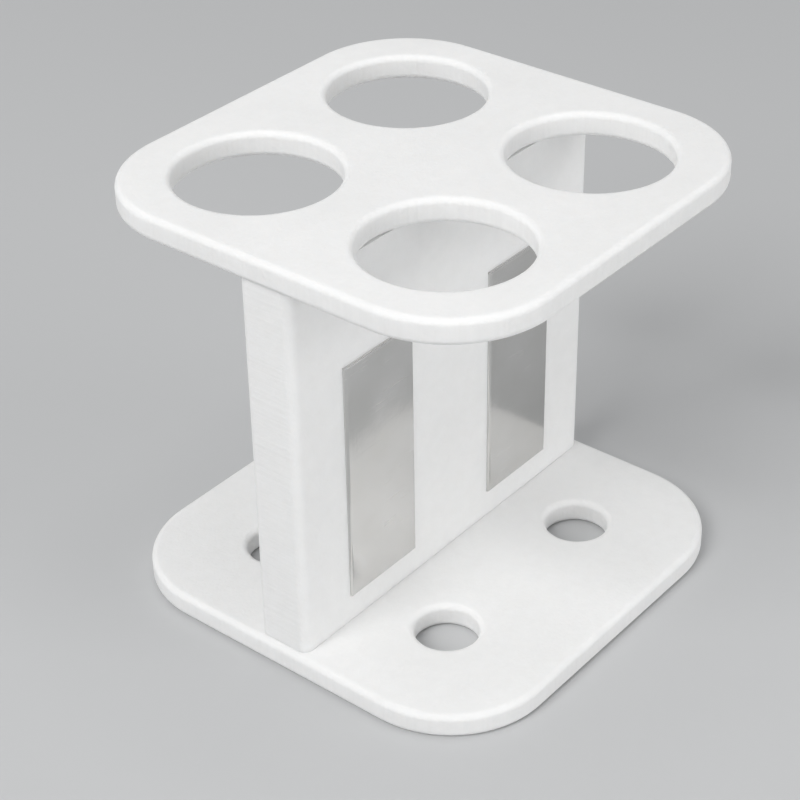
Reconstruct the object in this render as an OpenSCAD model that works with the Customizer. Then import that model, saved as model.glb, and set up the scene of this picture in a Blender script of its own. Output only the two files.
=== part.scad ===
/* [Plates] */
// Side of the square top and base plates
plate_side = 87; // [86:0.5:100]
// Thickness of each plate
plate_thickness = 4.8; // [4:0.1:8]
// Radius of the plates' corners, seen from above
plate_corner = 20; // [6:0.5:22]
// Radius of the eased edge round each plate and each hole
edge_round = 1.2; // [0.3:0.1:1.5]

/* [Tube places] */
// Distance between neighbouring tube places, both ways
tube_pitch = 40.8; // [40.8:0.1:44]
// Diameter of the holes in the top plate that take the tubes
tube_hole = 29.8; // [26:0.1:29.8]
// Diameter of the holes in the base plate that take the tube tips
tip_hole = 12; // [8:0.5:18]

/* [Upright] */
// Height of the whole rack
rack_height = 84.5; // [80:0.5:110]
// Length of the upright
upright_length = 84.5; // [76:0.5:85]
// Thickness of the upright
upright_thickness = 11; // [8:0.1:11]
// Radius of the upright's four standing edges
upright_round = 2; // [0.3:0.1:3]

/* [Magnets] */
// Width of each magnet, along the upright
magnet_width = 18.5; // [12:0.5:20]
// Height of each magnet
magnet_height = 49; // [30:0.5:60]
// Height of the plastic rail left under the magnets
magnet_rail = 5.5; // [3:0.1:8]
// How far each magnet stands out of both faces of the upright
magnet_proud = 0.5; // [0:0.1:0.6]
// Radius of the magnets' plated edges
magnet_round = 0.5; // [0.1:0.1:0.8]

/* [Hidden] */
$fn = 96;

// How far a cutter runs past the faces that it opens
overcut = 1;
// Distance of each tube place from the middle planes
tube_offset = tube_pitch / 2;
// Distance of each corner's axis from the middle planes
corner_offset = plate_side / 2 - plate_corner;
// Height of the top plate's underside
top_plate_base = rack_height - plate_thickness;
// Height of the upright, which fills the space between the plates
upright_height = top_plate_base - plate_thickness;
// Height of the magnets' lower faces
magnet_base = plate_thickness + magnet_rail;
// Depth of each magnet, which passes right through the upright
magnet_depth = upright_thickness + 2 * magnet_proud;

// Rectangle with round corners, centred on the origin
module rounded_rectangle(size, radius) {
    square([size.x - 2 * radius, size.y], center = true);
    square([size.x, size.y - 2 * radius], center = true);
    for (x = [-1, 1], y = [-1, 1])
        translate([x * (size.x / 2 - radius), y * (size.y / 2 - radius)])
            circle(r = radius);
}

// Block with every edge rounded, centred on the origin
module rounded_block(size, radius) {
    intersection() {
        linear_extrude(size.z, center = true)
            rounded_rectangle([size.x, size.y], radius);
        rotate([90, 0, 0])
            linear_extrude(size.y, center = true)
                rounded_rectangle([size.x, size.z], radius);
        rotate([90, 0, 90])
            linear_extrude(size.x, center = true)
                rounded_rectangle([size.y, size.z], radius);
    }
}

// Straight part of a plate, at its full width between two pairs of corners
module plate_band() {
    translate([0, 0, plate_thickness / 2])
        rotate([90, 0, 90])
            linear_extrude(2 * corner_offset, center = true)
                rounded_rectangle([plate_side, plate_thickness], edge_round);
}

// Section of a plate's corner, from the corner's axis out to the eased rim
module corner_section() {
    square([plate_corner - edge_round, plate_thickness]);
    translate([0, edge_round])
        square([plate_corner, plate_thickness - 2 * edge_round]);
    for (z = [edge_round, plate_thickness - edge_round])
        translate([plate_corner - edge_round, z])
            circle(r = edge_round);
}

// Plate with round corners and eased edges, standing on Z = 0
module plate_blank() {
    plate_band();
    rotate(90)
        plate_band();
    for (turn = [0, 90, 180, 270])
        rotate(turn)
            translate([corner_offset, corner_offset, 0])
                rotate_extrude(angle = 90)
                    corner_section();
}

// Half section of a hole through a plate that flares to eased rims at both faces
module hole_section(radius) {
    translate([0, -overcut])
        square([radius, plate_thickness + 2 * overcut]);
    for (side = [-1, 1])
        translate([0, plate_thickness / 2])
            scale([1, side])
                translate([0, plate_thickness / 2 - edge_round])
                    difference() {
                        square([radius + edge_round, edge_round + overcut]);
                        translate([radius + edge_round, 0])
                            circle(r = edge_round);
                    }
}

// Plate with one hole of the given diameter at each of the four tube places
module drilled_plate(diameter) {
    difference() {
        plate_blank();
        for (x = [-1, 1], y = [-1, 1])
            translate([x * tube_offset, y * tube_offset, 0])
                rotate_extrude()
                    hole_section(diameter / 2);
    }
}

// Base plate: its small holes hold the conical tips of the tubes
module base_plate() {
    color("white")
        drilled_plate(tip_hole);
}

// Top plate: its large holes hold the tubes upright
module top_plate() {
    color("white")
        translate([0, 0, top_plate_base])
            drilled_plate(tube_hole);
}

// Upright between the two rows of tubes, with one window for each magnet
module upright() {
    color("white")
        difference() {
            translate([0, 0, plate_thickness])
                linear_extrude(upright_height)
                    rounded_rectangle([upright_length, upright_thickness], upright_round);
            for (x = [-tube_offset, tube_offset])
                translate([x - magnet_width / 2, -upright_thickness, magnet_base])
                    cube([magnet_width, 2 * upright_thickness, magnet_height]);
        }
}

// Plated block magnet that fills one window and faces a tube on both sides
module magnet(x) {
    color("silver")
        translate([x, 0, magnet_base + magnet_height / 2])
            rounded_block([magnet_width, magnet_depth, magnet_height], magnet_round);
}

base_plate();
upright();
magnet(-tube_offset);  // magnet_left
magnet(tube_offset);  // magnet_right
top_plate();
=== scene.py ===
"""Looks of a magnetic separation rack: white plastic plates and upright, two nickel-plated block magnets.

Every length is in metres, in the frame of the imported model.
"""

import math

import bpy
from mathutils import Matrix, Vector

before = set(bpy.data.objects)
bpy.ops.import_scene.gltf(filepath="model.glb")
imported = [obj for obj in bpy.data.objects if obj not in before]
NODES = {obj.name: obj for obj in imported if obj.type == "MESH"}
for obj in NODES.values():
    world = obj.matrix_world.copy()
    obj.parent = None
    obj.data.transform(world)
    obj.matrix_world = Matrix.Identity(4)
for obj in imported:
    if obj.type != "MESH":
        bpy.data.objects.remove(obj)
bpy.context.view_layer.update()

MM = 0.001

# ---------------------------------------------------------------- camera

# The camera turns about a point on the rack's middle line, and then moves aside in its own plane.
FRAME_PIXELS = 800
SENSOR_MM = 36.0
FOCAL_PIXELS = 2083.03
CAMERA_AZIMUTH = math.radians(-50.42)
CAMERA_ELEVATION = math.radians(33.44)
CAMERA_ROLL = math.radians(-1.05)
CAMERA_DISTANCE = 379.97 * MM
CAMERA_RIGHT = -5.05 * MM
CAMERA_UP = -8.07 * MM
AIM_HEIGHT = 45.0 * MM
NEAREST_SEEN = 0.01
FARTHEST_SEEN = 20.0


def add_camera():
    sin_a, cos_a = math.sin(CAMERA_AZIMUTH), math.cos(CAMERA_AZIMUTH)
    sin_e, cos_e = math.sin(CAMERA_ELEVATION), math.cos(CAMERA_ELEVATION)
    back = Vector((sin_a * cos_e, -cos_a * cos_e, sin_e))
    right = Vector((cos_a, sin_a, 0.0))
    up = back.cross(right)
    place = back * CAMERA_DISTANCE + right * CAMERA_RIGHT + up * CAMERA_UP
    place.z += AIM_HEIGHT
    sin_r, cos_r = math.sin(CAMERA_ROLL), math.cos(CAMERA_ROLL)
    rolled_right = right * cos_r + up * sin_r
    rolled_up = up * cos_r - right * sin_r
    data = bpy.data.cameras.new("camera")
    data.sensor_width = SENSOR_MM
    data.lens = FOCAL_PIXELS * SENSOR_MM / FRAME_PIXELS
    data.clip_start = NEAREST_SEEN
    data.clip_end = FARTHEST_SEEN
    camera = bpy.data.objects.new("camera", data)
    turn = Matrix((rolled_right, rolled_up, back)).transposed()
    camera.matrix_world = Matrix.Translation(place) @ turn.to_4x4()
    bpy.context.scene.collection.objects.link(camera)
    bpy.context.scene.camera = camera


# ---------------------------------------------------------------- node helpers


class Graph:
    """Short calls that fill the node tree of a new material, or of the world."""

    def __init__(self, owner):
        owner.use_nodes = True
        self.owner = owner
        self.tree = owner.node_tree
        self.tree.nodes.clear()

    def node(self, kind, inputs=None, **settings):
        made = self.tree.nodes.new(kind)
        for key, value in settings.items():
            setattr(made, key, value)
        for key, value in (inputs or {}).items():
            self.put(made.inputs[key], value)
        return made

    def put(self, socket, value):
        """Links a socket to another one, or sets it to a constant."""
        if isinstance(value, bpy.types.NodeSocket):
            self.tree.links.new(value, socket)
        else:
            socket.default_value = value

    def math(self, operation, *values):
        made = self.node("ShaderNodeMath", operation=operation)
        for socket, value in zip(made.inputs, values):
            self.put(socket, value)
        return made.outputs[0]

    def noise(self, vector, scale, detail):
        inputs = {"Vector": vector, "Scale": scale, "Detail": detail}
        return self.node("ShaderNodeTexNoise", inputs).outputs["Fac"]

    def spread(self, value, ends, results=(0.0, 1.0)):
        """Maps the range between two ends to the range between two results, and stops there."""
        inputs = {"Value": value}
        inputs["From Min"], inputs["From Max"] = ends
        inputs["To Min"], inputs["To Max"] = results
        return self.node("ShaderNodeMapRange", inputs).outputs["Result"]

    def blend(self, factor, first, second):
        """Mixes two colours."""
        made = self.node("ShaderNodeMix", data_type="RGBA")
        factor_socket, first_socket, second_socket = made.inputs[0], made.inputs[6], made.inputs[7]
        self.put(factor_socket, factor)
        self.put(first_socket, first)
        self.put(second_socket, second)
        return made.outputs[2]

    def stretch(self, vector, amounts, turn=(0.0, 0.0, 0.0)):
        inputs = {"Vector": vector, "Scale": amounts, "Rotation": turn}
        return self.node("ShaderNodeMapping", inputs).outputs["Vector"]

    def component(self, vector, axis):
        return self.node("ShaderNodeSeparateXYZ", {"Vector": vector}).outputs[axis]

    def bump(self, height, relief, normal=None):
        """Raises the surface by a height from 0 to 1 times the relief, a distance and a strength."""
        distance, strength = relief
        inputs = {"Height": height, "Distance": distance, "Strength": strength}
        if normal is not None:
            inputs["Normal"] = normal
        return self.node("ShaderNodeBump", inputs).outputs["Normal"]

    def mix_shaders(self, factor, first, second):
        made = self.node("ShaderNodeMixShader")
        self.put(made.inputs[0], factor)
        self.put(made.inputs[1], first.outputs[0])
        self.put(made.inputs[2], second.outputs[0])
        return made

    def finish(self, shader, output="ShaderNodeOutputMaterial"):
        out = self.node(output)
        self.put(out.inputs["Surface"], shader.outputs[0])
        return self.owner


def new_material(name):
    return Graph(bpy.data.materials.new(name))


def assign(node_name, material):
    slots = NODES[node_name].data.materials
    for index in range(len(slots)):
        slots[index] = material
    if not slots:
        slots.append(material)


# ---------------------------------------------------------------- scratches

# A scale is in cells of noise for each metre. A noise value lies near 0.5, mostly between 0.3 and 0.7.
SCRATCH_STRETCH = (60.0, 5200.0, 5200.0)
SCRATCH_EDGE = 0.03


def scratches(g, place, turn, threshold):
    """Thin, nearly straight lines where the noise is over the threshold: 1 on a line, 0 between them."""
    lines = g.noise(g.stretch(place, SCRATCH_STRETCH, turn), scale=1.0, detail=1.0)
    return g.spread(lines, (threshold, threshold + SCRATCH_EDGE))


# ---------------------------------------------------------------- plastic

PLASTIC_LIGHT = (0.905, 0.904, 0.899, 1.0)
PLASTIC_DARK = (0.876, 0.875, 0.869, 1.0)
PLASTIC_STREAK = (0.76, 0.758, 0.75, 1.0)
PLASTIC_IOR = 1.48
PLASTIC_SPECULAR = 0.36

AXIS_Y = 1
AXIS_Z = 2
CUT_FACING = (0.30, 0.70)
EDGE_FACING_FROM = (0.10, 0.45)
EDGE_FACING_TO = (0.80, 0.98)

CLOUD_SCALE = 45.0
MOTTLE_SCALE = 420.0
GRAIN_SCALE = 1500.0
CHATTER_SCALE = 1300.0
CHATTER_ALONG_CUTTER = 0.02
CLOUD_SHARE = 0.65
MOTTLE_SHARE = 0.35
TONE_ENDS = (0.38, 0.62)
CHATTER_ENDS = (0.35, 0.65)
STREAK_AMOUNT = 0.10
SCRATCH_TURN_A = (0.0, 0.0, 0.45)
SCRATCH_TURN_B = (0.3, 0.2, -1.10)
SCRATCH_THRESHOLD_A = 0.70
SCRATCH_THRESHOLD_B = 0.71

CLOUD_ENDS = (0.35, 0.65)
PLASTIC_ROUGHNESS = (0.56, 0.64)
CUT_ROUGHER = 0.06
EDGE_ROUGHER = 0.14
SCRATCH_ROUGHER = 0.12

CLOUD_RELIEF = (0.8 * MM, 0.25)
GRAIN_RELIEF = (0.1 * MM, 0.9)
CHATTER_RELIEF = (0.12 * MM, 0.8)
SCRATCH_RELIEF = (0.02 * MM, 0.5)

SUBSURFACE_WEIGHT = 0.25
SUBSURFACE_RADIUS = (1.0, 0.95, 0.9)
SUBSURFACE_SCALE = 2.5 * MM


def sheet_plastic(name, sheet_axis):
    """White plastic cut from sheet whose own faces look along the given axis."""
    g = new_material(name)
    coords = g.node("ShaderNodeTexCoord")
    place = coords.outputs["Object"]
    facing = g.math("ABSOLUTE", g.component(coords.outputs["Normal"], sheet_axis))
    cut_face = g.spread(facing, CUT_FACING, (1.0, 0.0))
    tilted_from_cut = g.spread(facing, EDGE_FACING_FROM)
    tilted_from_sheet = g.spread(facing, EDGE_FACING_TO, (1.0, 0.0))
    eased_edge = g.math("MULTIPLY", tilted_from_cut, tilted_from_sheet)

    cloud = g.noise(place, CLOUD_SCALE, detail=3.0)
    mottle = g.noise(place, MOTTLE_SCALE, detail=2.0)
    grain = g.noise(place, GRAIN_SCALE, detail=3.0)
    along_cutter = [1.0, 1.0, 1.0]
    along_cutter[sheet_axis] = CHATTER_ALONG_CUTTER
    chatter = g.noise(g.stretch(place, along_cutter), CHATTER_SCALE, detail=1.0)
    scratched = g.math("MAXIMUM", scratches(g, place, SCRATCH_TURN_A, SCRATCH_THRESHOLD_A),
                       scratches(g, place, SCRATCH_TURN_B, SCRATCH_THRESHOLD_B))

    tone = g.math("ADD", g.math("MULTIPLY", cloud, CLOUD_SHARE), g.math("MULTIPLY", mottle, MOTTLE_SHARE))
    colour = g.blend(g.spread(tone, TONE_ENDS), PLASTIC_DARK, PLASTIC_LIGHT)
    streak = g.math("MULTIPLY", cut_face, g.spread(chatter, CHATTER_ENDS, (STREAK_AMOUNT, 0.0)))
    colour = g.blend(streak, colour, PLASTIC_STREAK)

    roughness = g.spread(cloud, CLOUD_ENDS, PLASTIC_ROUGHNESS)
    roughness = g.math("ADD", roughness, g.math("MULTIPLY", cut_face, CUT_ROUGHER))
    roughness = g.math("ADD", roughness, g.math("MULTIPLY", eased_edge, EDGE_ROUGHER))
    roughness = g.math("ADD", roughness, g.math("MULTIPLY", scratched, SCRATCH_ROUGHER))

    normal = g.bump(cloud, CLOUD_RELIEF)
    normal = g.bump(grain, GRAIN_RELIEF, normal)
    normal = g.bump(g.math("MULTIPLY", chatter, cut_face), CHATTER_RELIEF, normal)
    normal = g.bump(g.math("MULTIPLY", scratched, -1.0), SCRATCH_RELIEF, normal)
    shader = g.node("ShaderNodeBsdfPrincipled", {
        "Base Color": colour,
        "Roughness": roughness,
        "IOR": PLASTIC_IOR,
        "Specular IOR Level": PLASTIC_SPECULAR,
        "Normal": normal,
        "Subsurface Weight": SUBSURFACE_WEIGHT,
        "Subsurface Radius": SUBSURFACE_RADIUS,
        "Subsurface Scale": SUBSURFACE_SCALE,
    })
    return g.finish(shader)


# ---------------------------------------------------------------- nickel

NICKEL_BRIGHT = (0.70, 0.695, 0.685, 1.0)
NICKEL_DULL = (0.66, 0.655, 0.64, 1.0)

HAZE_SCALE = 110.0
WARP_SCALE = 35.0
PEEL_SCALE = 380.0
PIT_SCALE = 3200.0
GRINDING_SCALE = 2600.0
GRINDING_STRETCH = (1.0, 1.0, 0.01)
NICKEL_SCRATCH_TURN = (0.0, 0.35, 0.0)
NICKEL_SCRATCH_THRESHOLD = 0.68

HAZE_COLOUR_ENDS = (0.35, 0.65)
HAZE_ROUGHNESS_ENDS = (0.32, 0.68)
NICKEL_ROUGHNESS = (0.12, 0.20)
NICKEL_SCRATCH_ROUGHER = 0.10

WARP_RELIEF = (0.6 * MM, 0.3)
PEEL_RELIEF = (0.1 * MM, 0.12)
GRINDING_RELIEF = (0.03 * MM, 0.10)
PIT_RELIEF = (0.02 * MM, 0.10)


def nickel_plating():
    g = new_material("nickel_plating")
    place = g.node("ShaderNodeTexCoord").outputs["Object"]
    haze = g.noise(place, HAZE_SCALE, detail=3.0)
    warp = g.noise(place, WARP_SCALE, detail=0.0)
    peel = g.noise(place, PEEL_SCALE, detail=2.0)
    pits = g.noise(place, PIT_SCALE, detail=1.0)
    grinding = g.noise(g.stretch(place, GRINDING_STRETCH), GRINDING_SCALE, detail=1.0)
    scratched = scratches(g, place, NICKEL_SCRATCH_TURN, NICKEL_SCRATCH_THRESHOLD)

    colour = g.blend(g.spread(haze, HAZE_COLOUR_ENDS), NICKEL_DULL, NICKEL_BRIGHT)
    roughness = g.spread(haze, HAZE_ROUGHNESS_ENDS, NICKEL_ROUGHNESS)
    roughness = g.math("ADD", roughness, g.math("MULTIPLY", scratched, NICKEL_SCRATCH_ROUGHER))
    normal = g.bump(warp, WARP_RELIEF)
    normal = g.bump(peel, PEEL_RELIEF, normal)
    normal = g.bump(grinding, GRINDING_RELIEF, normal)
    normal = g.bump(pits, PIT_RELIEF, normal)
    shader = g.node("ShaderNodeBsdfPrincipled", {
        "Base Color": colour,
        "Metallic": 1.0,
        "Roughness": roughness,
        "Normal": normal,
    })
    return g.finish(shader)


# ---------------------------------------------------------------- floor and backdrop

BACKDROP_COLOUR = (0.53, 0.535, 0.54, 1.0)
FLOOR_DARK = (0.55, 0.555, 0.56, 1.0)
FLOOR_LIGHT = (0.57, 0.575, 0.58, 1.0)
FLOOR_CLOUD_SCALE = 3.0
FLOOR_CLOUD_ENDS = (0.3, 0.7)
FLOOR_ROUGHNESS = 0.6
FLOOR_FADE = (0.4, 1.4)
FLOOR_REACH = 3.0


def seen_by_eye_or_mirror(g):
    """1 for the camera's rays and for those off gloss or through glass, 0 for those that carry dull light."""
    rays = g.node("ShaderNodeLightPath")
    seen = g.math("MAXIMUM", rays.outputs["Is Camera Ray"], rays.outputs["Is Glossy Ray"])
    return g.math("MAXIMUM", seen, rays.outputs["Is Transmission Ray"])


def floor_material():
    """Pale grey that fades, with distance from the rack, to the backdrop's even tone."""
    g = new_material("floor")
    place = g.node("ShaderNodeTexCoord").outputs["Object"]
    cloud = g.noise(place, FLOOR_CLOUD_SCALE, detail=2.0)
    colour = g.blend(g.spread(cloud, FLOOR_CLOUD_ENDS), FLOOR_DARK, FLOOR_LIGHT)
    surface = g.node("ShaderNodeBsdfPrincipled", {"Base Color": colour, "Roughness": FLOOR_ROUGHNESS})
    backdrop = g.node("ShaderNodeEmission", {"Color": BACKDROP_COLOUR})
    distance = g.node("ShaderNodeVectorMath", {"Vector": place}, operation="LENGTH").outputs["Value"]
    far = g.spread(distance, FLOOR_FADE)
    fade = g.math("MULTIPLY", far, seen_by_eye_or_mirror(g))
    return g.finish(g.mix_shaders(fade, surface, backdrop))


def add_floor():
    reach = FLOOR_REACH
    mesh = bpy.data.meshes.new("floor")
    corners = [(-reach, -reach, 0.0), (reach, -reach, 0.0), (reach, reach, 0.0), (-reach, reach, 0.0)]
    mesh.from_pydata(corners, [], [(0, 1, 2, 3)])
    floor = bpy.data.objects.new("floor", mesh)
    bpy.context.scene.collection.objects.link(floor)
    mesh.materials.append(floor_material())


# ---------------------------------------------------------------- light

WORLD_COLOUR = (0.98, 0.99, 1.0, 1.0)
WORLD_STRENGTH = 0.28
LAMP_TARGET = (0.0, 0.0, 0.04)
# Each lamp's name, place, diameter and power in watts. The key lamp faces the upright's end.
LAMPS = (
    ("key", (-1.01, 0.053, 1.051), 0.8, 12.6),
    ("fill", (0.3, -1.25, 0.24), 0.9, 7.7),
    ("overhead", (0.1, 0.1, 1.4), 1.0, 4.0),
)


def add_lamp(name, place, diameter, power):
    data = bpy.data.lights.new(name, "AREA")
    data.shape = "DISK"
    data.size = diameter
    data.energy = power
    lamp = bpy.data.objects.new(name, data)
    lamp.location = place
    aim = Vector(LAMP_TARGET) - Vector(place)
    lamp.rotation_euler = aim.to_track_quat("-Z", "Y").to_euler()
    bpy.context.scene.collection.objects.link(lamp)


def add_world():
    """Even light all round, seen by the camera and in mirrors as a pale backdrop."""
    g = Graph(bpy.data.worlds.new("world"))
    light = g.node("ShaderNodeBackground", {"Color": WORLD_COLOUR, "Strength": WORLD_STRENGTH})
    backdrop = g.node("ShaderNodeBackground", {"Color": BACKDROP_COLOUR})
    choice = g.mix_shaders(seen_by_eye_or_mirror(g), light, backdrop)
    bpy.context.scene.world = g.finish(choice, "ShaderNodeOutputWorld")


# ---------------------------------------------------------------- build

add_camera()
plate_plastic = sheet_plastic("plate_plastic", AXIS_Z)
upright_plastic = sheet_plastic("upright_plastic", AXIS_Y)
nickel = nickel_plating()
assign("base_plate", plate_plastic)
assign("top_plate", plate_plastic)
assign("upright", upright_plastic)
assign("magnet_left", nickel)
assign("magnet_right", nickel)
add_floor()
for lamp in LAMPS:
    add_lamp(*lamp)
add_world()

bpy.context.scene.view_settings.view_transform = "Standard"
